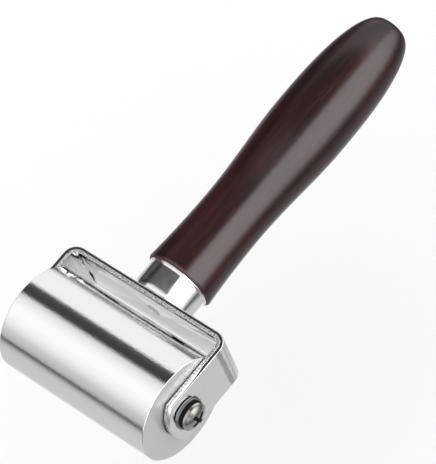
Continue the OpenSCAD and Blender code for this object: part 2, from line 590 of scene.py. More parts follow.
def build_grit() -> None:
    """Small rough grains, as on a sheared or cast edge, with the size of a grain as input."""
    group = Group(Effect.GRIT, {"Grains per metre": 2500.0}, ("Height", "Mask"))
    fineness = group.given["Grains per metre"]
    coarse = group.noise(group.where, fineness, 5.0, 0.65)
    cells = group.node("TexVoronoi", {"Vector": group.where, "Scale": fineness}, "Distance", feature="F1")
    group.give(Height=coarse + cells * 0.5, Mask=coarse.span(0.42, 0.62))


def build_handling() -> None:
    """Faint smears and hair scratches that handling leaves on a bright surface."""
    group = Group(Effect.HANDLING, {}, ("Smear", "Scratch"))
    smear = group.noise(group.where, 60.0, 4.0, 0.6)
    lengthwise = group.noise(group.stretched(group.where, (1.0, 9.0, 9.0)), 420.0, 2.0)
    across = group.noise(group.stretched(group.where, (9.0, 1.0, 5.0)), 380.0, 2.0)
    scratch = lengthwise.span(0.68, 0.74).most(across.span(0.70, 0.76))
    group.give(Smear=smear.span(0.45, 0.75), Scratch=scratch)


def build_grain() -> None:
    """Straight grain along Y under a dark stain, with fine pores."""
    group = Group(Effect.GRAIN, {}, ("Color", "Height", "Pore"))
    bands = group.noise(group.stretched(group.where, (1.0, 0.06, 1.0)), 330.0, 5.0, 0.6)
    fibres = group.noise(group.stretched(group.where, (1.0, 0.03, 1.0)), 1900.0, 4.0, 0.6)
    patches = group.noise(group.stretched(group.where, (1.0, 0.4, 1.0)), 70.0, 2.0)
    pores = group.noise(group.stretched(group.where, (1.0, 0.05, 1.0)), 2600.0, 2.0)
    tone = bands * 0.6 + fibres * 0.4 + (patches - 0.5) * 0.35
    pore = pores.span(0.62, 0.70)
    group.give(Color=group.ramp(tone, STAIN), Height=fibres * 0.5 - pore, Pore=pore)


def build_edge_band() -> None:
    """Sheared edges of a strap bent to a U: a mask of the torn zone, its tear lines, and a painted dark
    reflection at the bends.

    The torn zone is on the strap's edges, away from its outer side, where the edge is rolled smooth. The
    painted dark reflection is a streak across each arm's outer face, where the bend begins.
    """
    inputs = {"Half width": 0.01, "Tip centre": 0.007, "Tip radius": TIP_RADIUS, "Bend X": 0.0278,
              "Bend Y": 0.019, "Bend radius": BEND_RADIUS, "Smooth": 0.0012}
    group = Group(Effect.EDGE_BAND, inputs, ("Mask", "Height", "Pit", "Press mark"))
    given = group.given
    x, y, z = group.split(group.where)
    on_side = (abs(z) - given["Half width"]).span(-0.00005, -0.00002)
    reach = ((y - given["Tip centre"]).squared() + z.squared()).root()
    on_tip = (reach - given["Tip radius"]).span(-0.00005, -0.00002) * group.math("LESS_THAN", y, 0.0)
    aside = abs(x) - given["Bend X"]
    behind = y - given["Bend Y"]
    corner = (aside.most(0.0).squared() + behind.most(0.0).squared()).root()
    depth = given["Bend radius"] - (corner + aside.most(behind).least(0.0))
    ragged = group.noise(group.where, 1500.0, 3.0) * 0.0006
    torn = (depth + ragged - given["Smooth"]).span(0.00015, 0.0003)
    wander = behind + group.noise(group.where, 500.0, 4.0, 0.65) * 0.0009
    # Painted dark reflection: a streak across each arm's outer face where the bend begins.
    bend_reflection = wander.span(-0.0019, -0.0008) * wander.span(0.0001, 0.0007, 1.0, 0.0)
    on_arm = behind.span(-0.001, 0.0, 1.0, 0.0)
    lines = group.noise(y * on_arm + x * (1.0 - on_arm), 2600.0, 3.0, in_line=True)
    pits = group.noise(group.where, 2300.0, 4.0, 0.7)
    group.give(Mask=on_side.most(on_tip) * torn, Height=lines + pits * 1.2,
               Pit=(lines * 0.25 + pits * 0.75).span(0.44, 0.49, 1.0, 0.0),
               Press_mark=bend_reflection * depth.span(0.00005, 0.0002, 1.0, 0.0))


# ---------------------------------------------------------------- finishes: the materials


class Surface(Wiring):
    """The wiring of a material round its shader, on Object coordinates."""

    def __init__(self, tree: bpy.types.NodeTree) -> None:
        """Adds the shader, the output and the coordinates.

        Args:
            tree: The material's node tree.
        """
        super().__init__(tree)
        self.shader = self.add("BsdfPrincipled", {})
        self.add("OutputMaterial", {"Surface": Signal(self, self.shader.outputs[0])})
        self.where = self.node("TexCoord", {}, "Object")

    def give(self, **values: Feed) -> None:
        """Feeds the shader's inputs, named with underscores for spaces."""
        for name, value in values.items():
            self.feed(self.shader.inputs[name.replace("_", " ")], value)

    def effect(self, effect: Effect, **values: Signal | float) -> dict[str, Signal]:
        """Places a shared effect.

        Args:
            effect: Which effect.
            **values: Its inputs, with underscores for spaces.

        Returns:
            Its outputs by name.
        """
        feeds = {"Vector": self.where, **{name.replace("_", " "): value for name, value in values.items()}}
        node = self.add("Group", {}, node_tree=bpy.data.node_groups[effect.value])
        for name, value in feeds.items():
            self.feed(node.inputs[name], value)
        return {socket.name: Signal(self, socket) for socket in node.outputs}

    def bump(self, height: Signal, depth: float) -> None:
        """Feeds a height into the shader's normal.

        Args:
            height: The height.
            depth: What a height of 1 stands for, in metres.
        """
        self.give(Normal=self.node("Bump", {"Strength": 1.0, "Distance": depth, "Height": height}))


@dataclass(frozen=True)
class Finish:
    """A material of the tool, built on a Principled shader."""

    name: str
    color: Color
    roughness: float
    metallic: float = 1.0

    @property
    def label(self) -> str:
        """The material's name in Blender, apart from the record's own slots."""
        return f"look_{self.name}"

    def build(self) -> None:
        """Makes the material, even all over, and then paints it."""
        made = bpy.data.materials.new(self.label)
        made.use_nodes = True
        surface = Surface(made.node_tree)
        surface.give(Base_Color=(*self.color, 1), Roughness=self.roughness, Metallic=self.metallic)
        self.paint(surface)

    def paint(self, surface: Surface) -> None:
        """Gives the surface its detail; each kind of finish has its own."""
        raise NotImplementedError

    def roughen(self, surface: Surface, extra: Signal) -> None:
        """Adds to the roughness, and keeps it between 0 and 1.

        Args:
            surface: The material's surface.
            extra: What comes on top of the finish's own roughness.
        """
        surface.give(Roughness=surface.math("ADD", extra, self.roughness, clamp=True))

    def tint(self, surface: Surface, mask: Signal, other: Color) -> None:
        """Mixes the base colour towards another by a mask.

        Args:
            surface: The material's surface.
            mask: The other colour's share.
            other: The other colour.
        """
        surface.give(Base_Color=surface.mix(mask, (*self.color, 1), (*other, 1)))


@dataclass(frozen=True)
class TurnedMetal(Finish):
    """Metal ground or turned about an axis, with lines round it, smears and hair scratches."""

    axis: int = 0
    lines: float = 5000.0
    line_depth: float = 0.0000012
    line_rough: float = 0.05
    smear_rough: float = 0.05
    scratch_share: float = 0.35
    ripple_depth: float = 0.0
    worn: Color = (0.7, 0.7, 0.7)

    def paint(self, surface: Surface) -> None:
        """Turns the surface, and wears it."""
        place = surface.split(surface.where)[self.axis]
        turning = surface.effect(Effect.TURNING, Place=place, Lines_per_metre=self.lines)
        marks = surface.effect(Effect.HANDLING)
        self.roughen(surface, turning["Tone"] * self.line_rough + marks["Smear"] * self.smear_rough)
        self.tint(surface, marks["Scratch"] * self.scratch_share, self.worn)
        ripple = surface.noise(surface.stretched(surface.where, (1.0, 0.5, 1.0)), 260.0, 1.0)
        surface.bump(turning["Height"] + ripple * (self.ripple_depth / self.line_depth), self.line_depth)


@dataclass(frozen=True)
class RollerMetal(TurnedMetal):
    """Bright plate on a ground cylinder, satin on its flat ends."""

    end_color: Color = (0.84, 0.84, 0.845)
    end_rough: float = 0.36
    grains: float = 1900.0
    grit_depth: float = 0.000021

    def paint(self, surface: Surface) -> None:
        """Grinds the cylinder, and turns its ends."""
        end = low_high("roller", 0)[1]
        x, y, z = surface.split(surface.where)
        on_end = abs(x).span(end - 0.00004, end - 0.00001)
        from_axis = (y.squared() + z.squared()).root()
        place = x * (1.0 - on_end) + from_axis * on_end
        turning = surface.effect(Effect.TURNING, Place=place, Lines_per_metre=self.lines)
        marks = surface.effect(Effect.HANDLING)
        grit = surface.effect(Effect.GRIT, Grains_per_metre=self.grains)
        worn = turning["Tone"] * self.line_rough + marks["Smear"] * self.smear_rough
        self.roughen(surface, worn + on_end * (self.end_rough - self.roughness))
        self.tint(surface, on_end, self.end_color)
        fine = grit["Height"] * (self.grit_depth / self.line_depth)
        surface.bump(turning["Height"] + fine, self.line_depth)


@dataclass(frozen=True)
class StrapChrome(Finish):
    """Bright plate on a bent strap: satin faces, and torn bright edges where the strap was sheared."""

    edge_rough: float = 0.2
    edge_depth: float = 0.0002
    smear_rough: float = 0.04
    satin_share: float = 0.0012
    # Dark colour of the sheared edge's pits, also used for the painted dark reflection at the bends.
    pit_color: Color = (0.05, 0.05, 0.05)
    press_share: float = 0.5

    def paint(self, surface: Surface) -> None:
        """Tears the sheared edges, and paints a dark reflection where the bends begin."""
        outer, half = low_high("yoke", 0)[1], low_high("yoke", 2)[1]
        tip, back = low_high("yoke", 1)
        band = surface.effect(Effect.EDGE_BAND, Half_width=half, Bend_X=outer - BEND_RADIUS,
                              Bend_Y=back - BEND_RADIUS, Bend_radius=BEND_RADIUS,
                              Tip_centre=tip + TIP_RADIUS, Tip_radius=TIP_RADIUS)
        edge = band["Mask"]
        # Painted dark reflection at the bends, mixed with the edge pits' own dark colour.
        self.tint(surface, (edge * band["Pit"]).most(band["Press mark"] * self.press_share), self.pit_color)
        smear = surface.effect(Effect.HANDLING)["Smear"] * self.smear_rough
        self.roughen(surface, smear + edge * (self.edge_rough - self.roughness - smear))
        satin = surface.noise(surface.where, 5000.0, 3.0) * self.satin_share
        surface.bump(band["Height"] * edge + satin, self.edge_depth)


@dataclass(frozen=True)
class ScrewSteel(Finish):
    """Plated screw steel, with painted shade in the cross recess of its head."""

    recess_reach: float = 2.72 * MM
    recess_half: float = 0.61 * MM
    turn: float = 20.0
    grains: float = 2200.0
    grit_rough: float = 0.12
    grit_depth: float = 0.000018
    # Dark colour of the painted shade in the cross recess, also used for darker handling smudges.
    dirt: Color = (0.02, 0.018, 0.016)
    dirt_rough: float = 0.3
    smear_share: float = 0.25

    def paint(self, surface: Surface) -> None:
        """Roughens the head, paints shade into its recess, and darkens its handling smudges."""
        x, y, z = surface.split(surface.where)
        across = y * surface.math("SIGN", x)
        cosine, sine = math.cos(math.radians(self.turn)), math.sin(math.radians(self.turn))
        first, second = abs(across * cosine + z * sine), abs(z * cosine - across * sine)
        narrow = first.least(second).span(self.recess_half - 0.00004, self.recess_half + 0.00004, 1.0, 0.0)
        short = first.most(second).span(self.recess_reach - 0.0001, self.recess_reach + 0.0001, 1.0, 0.0)
        recess = narrow * short
        grit = surface.effect(Effect.GRIT, Grains_per_metre=self.grains)
        marks = surface.effect(Effect.HANDLING)
        # Painted shade: the cross recess is darkened, and handling smudges take the same dark colour.
        self.tint(surface, recess.most(marks["Smear"] * self.smear_share), self.dirt)
        self.roughen(surface, grit["Mask"] * self.grit_rough + recess * self.dirt_rough)
        surface.bump(grit["Height"], self.grit_depth)


@dataclass(frozen=True)
class PlatedSteel(Finish):
    """Plated or oxidised steel with fine grit and worn patches."""

    grains: float = 5000.0
    grit_rough: float = 0.12
    grit_depth: float = 0.000004
    worn: Color = (0.5, 0.5, 0.5)
    worn_share: float = 0.3
    specular: float = 0.5

    def paint(self, surface: Surface) -> None:
        """Roughens the plate, and wears it."""
        grit = surface.effect(Effect.GRIT, Grains_per_metre=self.grains)
        marks = surface.effect(Effect.HANDLING)
        self.tint(surface, marks["Smear"].most(marks["Scratch"]) * self.worn_share, self.worn)
        self.roughen(surface, grit["Mask"] * self.grit_rough)
        surface.give(Specular_IOR_Level=self.specular)
        surface.bump(grit["Height"], self.grit_depth)


@dataclass(frozen=True)
class LacqueredWood(Finish):
    """Stained hardwood under semi-gloss lacquer, with the grain along Y and a painted highlight along its
    front edge.
    """

    coat: float = 0.9
    coat_rough: float = 0.22
    # Width, fade, raggedness, colour and roughness of the painted highlight along the front edge.
    rub: float = 0.32 * MM
    rub_fade: float = 0.3 * MM
    rub_ragged: float = 0.5 * MM
    rubbed: Color = (0.12, 0.021, 0.016)
    rubbed_rough: float = 0.3
    pore_rough: float = 0.15
    smear_rough: float = 0.05
    grain_depth: float = 0.000016

    def paint(self, surface: Surface) -> None:
        """Stains and lacquers the wood, and paints a highlight along its front edge."""
        grain = surface.effect(Effect.GRAIN)
        marks = surface.effect(Effect.HANDLING)
        along = surface.split(surface.where)[1] - low_high("handle", 1)[0]
        ragged = surface.noise(surface.where, 900.0, 3.0) * self.rub_ragged
        # Painted highlight: a lighter red band along the front edge, where the lacquered edge catches the
        # light.
        glint_mask = (along + ragged).span(self.rub, self.rub + self.rub_fade, 1.0, 0.0)
        surface.give(Base_Color=surface.mix(glint_mask, grain["Color"], (*self.rubbed, 1)))
        worn = glint_mask * self.rubbed_rough + marks["Smear"] * self.smear_rough
        self.roughen(surface, grain["Pore"] * self.pore_rough + worn)
        facing = surface.node("LayerWeight", {"Blend": 0.5}, "Facing")
        surface.give(Coat_Weight=facing.span(0.08, 0.42, self.coat, 0.0), Coat_Roughness=self.coat_rough)
        surface.bump(grain["Height"], self.grain_depth)


STAIN = ((0.34, (0.010, 0.0018, 0.0024)), (0.5, (0.024, 0.0036, 0.0042)), (0.66, (0.046, 0.0075, 0.0078)))
ROLLER_CHROME = RollerMetal("roller_chrome", (0.92, 0.92, 0.925), 0.03, lines=5200.0)
COLLAR_CHROME = TurnedMetal("collar_chrome", (0.90, 0.90, 0.905), 0.15, axis=1, lines=4200.0,
                            ripple_depth=0.00022)
STRAP_CHROME = StrapChrome("yoke_chrome", (0.86, 0.86, 0.865), 0.045)
SCREW_STEEL = ScrewSteel("screw_steel", (0.42, 0.415, 0.39), 0.18)
# Near-black with almost no specular: a black lock washer whose colour also paints the shade under the screw
# head.
BLACK_STEEL_AND_SHADE = PlatedSteel("black_washer", (0.006, 0.006, 0.006), 0.5, 0.0, worn=(0.03, 0.03, 0.03),
                          specular=0.08)
ZINC = PlatedSteel("zinc_washer", (0.27, 0.275, 0.28), 0.33, worn=(0.25, 0.25, 0.26))
GROUND_STEEL = TurnedMetal("ground_steel", (0.62, 0.62, 0.63), 0.22, lines=6000.0, line_depth=0.000002)
TANG_STEEL = TurnedMetal("tang_steel", (0.58, 0.58, 0.59), 0.2, axis=1, lines=3000.0, ripple_depth=0.0007,
                         line_depth=0.000004)
BRASS = TurnedMetal("brass", (0.78, 0.58, 0.27), 0.25, axis=1, lines=3500.0, worn=(0.5, 0.36, 0.16))
WOOD = LacqueredWood("handle_wood", (0.03, 0.008, 0.008), 0.28, 0.0)
FINISHES = (ROLLER_CHROME, COLLAR_CHROME, STRAP_CHROME, SCREW_STEEL, BLACK_STEEL_AND_SHADE, ZINC, GROUND_STEEL,
            TANG_STEEL, BRASS, WOOD)


def build_finishes() -> None:
    """Builds the shared effects and every material."""
    for build in (build_turning, build_grit, build_handling, build_grain, build_edge_band):
        build()
    for finish in FINISHES:
        finish.build()


def dress(piece: bpy.types.Object, finish: Finish) -> None:
    """Gives a piece its finish.

    Args:
        piece: The piece.
        finish: Its finish.
    """
    piece.data.materials.clear()
    piece.data.materials.append(bpy.data.materials[finish.label])


# ---------------------------------------------------------------- sizes read from the frame


def low_high(node: str, axis: int) -> tuple[float, float]:
    """A node's lowest and highest place along an axis.

    Args:
        node: The node's name.
        axis: 0, 1 or 2 for X, Y or Z.

    Returns:
        The two places.
    """
    low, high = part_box(node)
    return low[axis], high[axis]


def radius_of(node: str, axis: int = 2) -> float:
    """Half of a round node's size along an axis across it.

    Args:
        node: The node's name.
        axis: The axis.

    Returns:
        The radius.
    """
    low, high = low_high(node, axis)
    return (high - low) / 2


# ---------------------------------------------------------------- sub-assemblies


@dataclass
class RollerUnit:
    """The roller and the bearings that turn with it."""

    rim: float = 0.22 * MM
    shoulder: float = 1.5 * MM
    recess: float = 5.5 * MM
    sides: int = 256
    pieces: list[bpy.types.Object] = field(default_factory=list)

    def build(self) -> None:
        """Turns the roller: plain ends, eased rims, a core bore and a seat for a bearing in each end."""
        end = low_high("roller", 0)[1]
        radius = radius_of("roller")
        seat = radius_of("bearing_outer_right") + 0.02 * MM
        core = seat - self.shoulder
        rim = arc((end - self.rim, radius - self.rim), self.rim, 90, 0, 5)
        half = [(end - 4 * self.rim, radius), *rim, (end, radius - 2 * self.rim), (end, seat + self.rim),
                (end - self.rim / 2, seat), (end - self.recess, seat), (end - self.recess, core)]
        left = [(-place, size) for place, size in reversed(half)]
        roller = turn_piece("roller_cylinder", half + left, Axis.ALONG_X, self.sides, ring=True)
        stand_in(roller, "roller", "roller")
        self.pieces.append(roller)

    def dress(self) -> None:
        """Chromes the roller, and gives the bearings ground steel, brass cages and zinc shields."""
        dress(self.pieces[0], ROLLER_CHROME)
        for side in Side:
            for node, finish in (("bearing_outer", GROUND_STEEL), ("bearing_inner", GROUND_STEEL),
                                 ("bearing_balls", GROUND_STEEL), ("bearing_shields", ZINC),
                                 ("bearing_cage", BRASS)):
                dress(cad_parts[f"{node}_{side.word}"], finish)


@dataclass
class Yoke:
    """The strap bent round the roller."""

    hole: float = 2.7 * MM
    rivet_hole: float = 2.42 * MM
    bend_steps: int = 14
    rolled_edge: float = 0.34 * MM
    sharp_edge: float = 0.09 * MM
    pieces: list[bpy.types.Object] = field(default_factory=list)

    def build(self) -> None:
        """Bends the strap: an arm is drawn out, spun through a bend, and so on round to the other arm."""
        tip, back = low_high("yoke", 1)
        half_height = low_high("yoke", 2)[1]
        outer = low_high("yoke", 0)[1]
        inner = low_high("axle", 0)[1]
        bend_y = back - BEND_RADIUS
        strap = block("yoke_strap", (inner, tip, -half_height), (outer, bend_y, half_height))
        bpy.ops.object.mode_set(mode="EDIT")
        pick_faces(strap, lambda middle, normal: normal.y > 0.9)
        self.spin_bend(outer - BEND_RADIUS, bend_y)
        across = 2 * (BEND_RADIUS - outer)
        bpy.ops.mesh.extrude_region_move(TRANSFORM_OT_translate={"value": (across, 0, 0)})
        self.spin_bend(BEND_RADIUS - outer, bend_y)
        bpy.ops.mesh.extrude_region_move(TRANSFORM_OT_translate={"value": (0, tip - bend_y, 0)})
        bpy.ops.object.mode_set(mode="OBJECT")
        close_up(strap)
        cut(strap, self.tip_gauge(tip, outer), "INTERSECT")
        drill_ends = [(-2 * outer, self.hole), (2 * outer, self.hole)]
        drill = turn_piece("axle_drill", drill_ends, Axis.ALONG_X, 64)
        cut(strap, drill)
        punch_ends = [(bend_y, self.rivet_hole), (2 * back, self.rivet_hole)]
        punch = turn_piece("rivet_punch", punch_ends, Axis.ALONG_Y, 48)
        cut(strap, punch)
        close_up(strap)
        self.roll_outer_edges(strap, outer, back)
        ease_edges(strap, self.sharp_edge, 2, 50)
        stand_in(strap, "yoke", "frame")
        self.pieces.append(strap)

    def roll_outer_edges(self, strap: bpy.types.Object, outer: float, back: float) -> None:
        """Rounds the strap's long edges on its outer side, as rolling leaves them.

        Args:
            strap: The strap.
            outer: X of the arms' outer faces.
            back: Y of the back's outer face.
        """
        near = 0.01 * MM
        middle_x, middle_y = outer - BEND_RADIUS, back - BEND_RADIUS

        def outside(place: Vector) -> bool:
            """Tells whether a point is on the strap's outer side, clear of the holes."""
            aside, behind = abs(place.x) - middle_x, place.y - middle_y
            if aside > 0 and behind > 0:
                return math.hypot(aside, behind) > BEND_RADIUS - near
            if aside > 0:
                clear = math.hypot(place.y, place.z) > 2 * self.hole
            else:
                clear = abs(place.z) > 2 * self.rivet_hole
            return clear and max(aside, behind) > BEND_RADIUS - near

        only(strap)
        bpy.ops.object.mode_set(mode="EDIT")
        bpy.ops.mesh.select_mode(type="EDGE")
        bpy.ops.mesh.select_all(action="DESELECT")
        bpy.ops.mesh.edges_select_sharp(sharpness=math.radians(50))
        bpy.ops.object.mode_set(mode="OBJECT")
        points = strap.data.vertices
        for edge in strap.data.edges:
            edge.select = edge.select and all(outside(points[end].co) for end in edge.vertices)
        bpy.ops.object.mode_set(mode="EDIT")
        bpy.ops.mesh.bevel(offset=self.rolled_edge, segments=5, affect="EDGES")
        bpy.ops.object.mode_set(mode="OBJECT")

    def spin_bend(self, middle_x: float, middle_y: float) -> None:
        """Spins the selected end of the strap through a quarter turn, anticlockwise from above.

        Args:
            middle_x: X of the bend's centre.
            middle_y: Y of the bend's centre.
        """
        bpy.ops.mesh.spin(steps=self.bend_steps, angle=math.radians(90), center=(middle_x, middle_y, 0),
                          axis=(0, 0, -1))

    def tip_gauge(self, tip: float, outer: float) -> bpy.types.Object:
        """Makes the gauge that shapes the arms' tips: a long bar, round towards the tips and open behind.

        Args:
            tip: Y of the tips.
            outer: X of the arms' outer faces.

        Returns:
            The gauge.
        """
        middle = tip + TIP_RADIUS
        ends = [(-2 * outer, TIP_RADIUS), (2 * outer, TIP_RADIUS)]
        gauge = turn_piece("tip_gauge", ends, Axis.ALONG_X, 256)
        gauge.location = (0, middle, 0)
        settle(gauge)
        bpy.ops.object.mode_set(mode="EDIT")
        pick_points(gauge, lambda place: place.y > middle + 0.01 * MM)
        bpy.ops.transform.resize(value=(1, 0, 1), center_override=(0, middle, 0))
        bpy.ops.transform.translate(value=(0, 2 * TIP_RADIUS, 0))
        bpy.ops.object.mode_set(mode="OBJECT")
        return gauge

    def dress(self) -> None:
        """Plates the strap."""
        dress(self.pieces[0], STRAP_CHROME)


@dataclass
class Neck:
    """The collar between yoke and handle, and the tang that is riveted into the yoke."""

    radius: float = 10.5 * MM
    lip_radius: float = 11.1 * MM
    lip: float = 0.5 * MM
    flare: float = 0.35 * MM
    foot_length: float = 1.9 * MM
    foot_depth: float = 0.6 * MM
    spigot: float = 7.5 * MM
    rivet: float = 2.4 * MM
    peen: float = 0.25 * MM
    tang_ease: float = 0.6 * MM
    sides: int = 160
    pieces: list[bpy.types.Object] = field(default_factory=list)

    def build(self) -> None:
        """Turns the collar with its lip and spigot, and the tang with its peened end."""
        foot_y = low_high("neck_collar", 1)[0]
        tang_radius = radius_of("tang_stud")
        outline = self.collar_outline(tang_radius + 0.02 * MM)
        collar = turn_piece("neck_collar_turned", outline, Axis.ALONG_Y, self.sides, ring=True)
        stand_in(collar, "neck_collar", "frame")
        start, end = low_high("tang_stud", 1)
        tang = turn_piece("tang_riveted", [
            (start + 0.12 * MM, 0.5 * MM), (start + 0.03 * MM, 1.1 * MM), (start, 1.7 * MM),
            (start + 0.02 * MM, self.rivet - self.peen), (start + self.peen, self.rivet),
            (foot_y, self.rivet), (foot_y, tang_radius),
            (end - self.tang_ease, tang_radius), (end, tang_radius - self.tang_ease),
        ], Axis.ALONG_Y, 64)
        stand_in(tang, "tang_stud", "frame")
        self.pieces += [collar, tang]

    def collar_outline(self, bore: float) -> list[Station]:
        """The collar's outline, from its bore over the foot, along to the lip and back by the spigot.

        Args:
            bore: Radius of the hole for the tang.

        Returns:
            The stations.
        """
        foot_y, spigot_y = low_high("neck_collar", 1)
        front = low_high("handle", 1)[0]
        lip_middle = self.lip_radius - self.lip / 2
        foot = []
        for step in range(11):
            turn = math.radians(9 * step)
            foot.append((foot_y + self.foot_length * (1 - math.cos(turn)),
                         self.radius - self.foot_depth * (1 - math.sin(turn))))
        flare = [(front - (2.6 - 1.6 * step / 6) * self.lip, self.radius + self.flare * (step / 6) ** 2.5)
                 for step in range(7)]
        lip = arc((front - self.lip / 2, lip_middle), self.lip / 2, 180, 20, 8)
        return [(foot_y, bore), *foot, (foot_y + self.foot_length + 0.1 * MM, self.radius),
                (front - 2.8 * self.lip, self.radius), *flare, *lip, (front, lip_middle),
                (front, self.spigot), (spigot_y, self.spigot), (spigot_y, bore)]

    def dress(self) -> None:
        """Chromes the collar and leaves the tang plain steel."""
        dress(self.pieces[0], COLLAR_CHROME)
        dress(self.pieces[1], TANG_STEEL)


@dataclass
class Handle:
    """The turned wooden handle and its brass insert."""

    front_radius: float = 12.0 * MM
    front_round: float = 0.9 * MM
    waist_radius: float = 10.9 * MM
    waist_at: float = 27.0 * MM
    belly_radius: float = 12.9 * MM
    belly_at: float = 68.0 * MM
    flat_radius: float = 4.5 * MM
    fullness: float = 2.6
    spigot_bore: float = 7.52 * MM
    spigot_depth: float = 5.0 * MM
    tang_bore: float = 3.2 * MM
    sides: int = 128
    pieces: list[bpy.types.Object] = field(default_factory=list)

    def body_radius(self, along: float) -> float:
        """The handle's radius between its front end and its swelling.

        Args:
            along: Distance from the front end.

        Returns:
            The radius.
        """
        if along < self.waist_at:
            swell = self.front_radius - self.waist_radius
            return self.waist_radius + swell * (1 - along / self.waist_at) ** 2
        swell = self.belly_radius - self.waist_radius
        part = (along - self.waist_at) / (self.belly_at - self.waist_at)
        return self.waist_radius + swell * (1 - math.cos(math.pi * part)) / 2

    def outline(self, front: float, end: float) -> list[Station]:
        """The handle's outline from the bottom of its bore, out over the front and along to the butt.

        Args:
            front: Y of the front end.
            end: Y of the butt.

        Returns:
            The stations.
        """
        insert = radius_of("handle_insert") + 0.02 * MM
        insert_end = low_high("handle_insert", 1)[1]
        tang_end = low_high("tang_stud", 1)[1] + 2 * MM
        bore = [(tang_end, self.tang_bore), (insert_end, self.tang_bore), (insert_end, insert),
                (front + self.spigot_depth, insert), (front + self.spigot_depth, self.spigot_bore),
                (front, self.spigot_bore)]
        nose_radius = self.body_radius(self.front_round)
        nose = arc((front + self.front_round, nose_radius - self.front_round), self.front_round, 180, 90, 8)
        body = []
        for step in range(1, 49):
            along = self.front_round + (self.belly_at - self.front_round) * step / 48
            body.append((front + along, self.body_radius(along)))
        butt = []
        for step in range(1, 33):
            turn = math.radians(90 * step / 32)
            radius = self.flat_radius + (self.belly_radius - self.flat_radius) * math.cos(turn)
            along = self.belly_at + (end - front - self.belly_at) * math.sin(turn) ** (2 / self.fullness)
            butt.append((front + along, radius))
        return [*bore, (front, nose_radius - 2 * self.front_round), *nose, *body, *butt]

    def build(self) -> None:
        """Turns the handle."""
        front, end = low_high("handle", 1)
        handle = turn_piece("handle_turned", self.outline(front, end), Axis.ALONG_Y, self.sides)
        stand_in(handle, "handle", "frame", 40)
        self.pieces.append(handle)

    def dress(self) -> None:
        """Stains and lacquers the handle, and leaves the insert brass."""
        dress(self.pieces[0], WOOD)
        dress(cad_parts["handle_insert"], BRASS)


